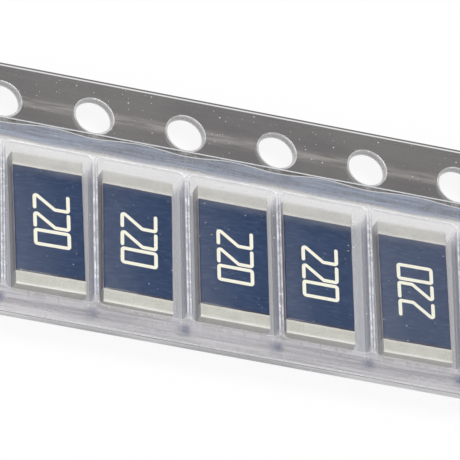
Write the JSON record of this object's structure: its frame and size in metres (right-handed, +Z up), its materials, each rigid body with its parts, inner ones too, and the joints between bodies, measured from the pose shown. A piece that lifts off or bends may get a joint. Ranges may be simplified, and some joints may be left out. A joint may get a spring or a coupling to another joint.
{
  "type": "chip resistor carrier tape strip",
  "caption": "Cut strip of embossed 12 mm carrier tape with sprocket holes, holding blue chip resistors in pockets under a clear heat-sealed cover film.",
  "frame": {"origin": "middle of the strip's bounding box, on the surface that its pocket floors rest on", "axes": "+X along the tape, +Y across it to the sprocket holes, +Z up through the cover film"},
  "size_m": [0.028, 0.012, 0.0012],
  "materials": {
    "carrier": "gloss",
    "cover_film": "gloss",
    "alumina": "matte",
    "resistive_film": "matte",
    "overcoat": "satin",
    "terminal": "satin"
  },
  "bodies": {
    "root": {"carrier_tape": "carrier", "cover_film": "cover_film", "chip_1_substrate": "alumina", "chip_1_resistive_film": "resistive_film", "chip_1_overcoat": "overcoat", "chip_1_terminal_near": "terminal", "chip_1_terminal_far": "terminal", "chip_2_substrate": "alumina", "chip_2_resistive_film": "resistive_film", "chip_2_overcoat": "overcoat", "chip_2_terminal_near": "terminal", "chip_2_terminal_far": "terminal", "chip_3_substrate": "alumina", "chip_3_resistive_film": "resistive_film", "chip_3_overcoat": "overcoat", "chip_3_terminal_near": "terminal", "chip_3_terminal_far": "terminal", "chip_4_substrate": "alumina", "chip_4_resistive_film": "resistive_film", "chip_4_overcoat": "overcoat", "chip_4_terminal_near": "terminal", "chip_4_terminal_far": "terminal", "chip_5_substrate": "alumina", "chip_5_resistive_film": "resistive_film", "chip_5_overcoat": "overcoat", "chip_5_terminal_near": "terminal", "chip_5_terminal_far": "terminal", "chip_6_substrate": "alumina", "chip_6_resistive_film": "resistive_film", "chip_6_overcoat": "overcoat", "chip_6_terminal_near": "terminal", "chip_6_terminal_far": "terminal", "chip_7_substrate": "alumina", "chip_7_resistive_film": "resistive_film", "chip_7_overcoat": "overcoat", "chip_7_terminal_near": "terminal", "chip_7_terminal_far": "terminal"}
  },
  "joints": []
}
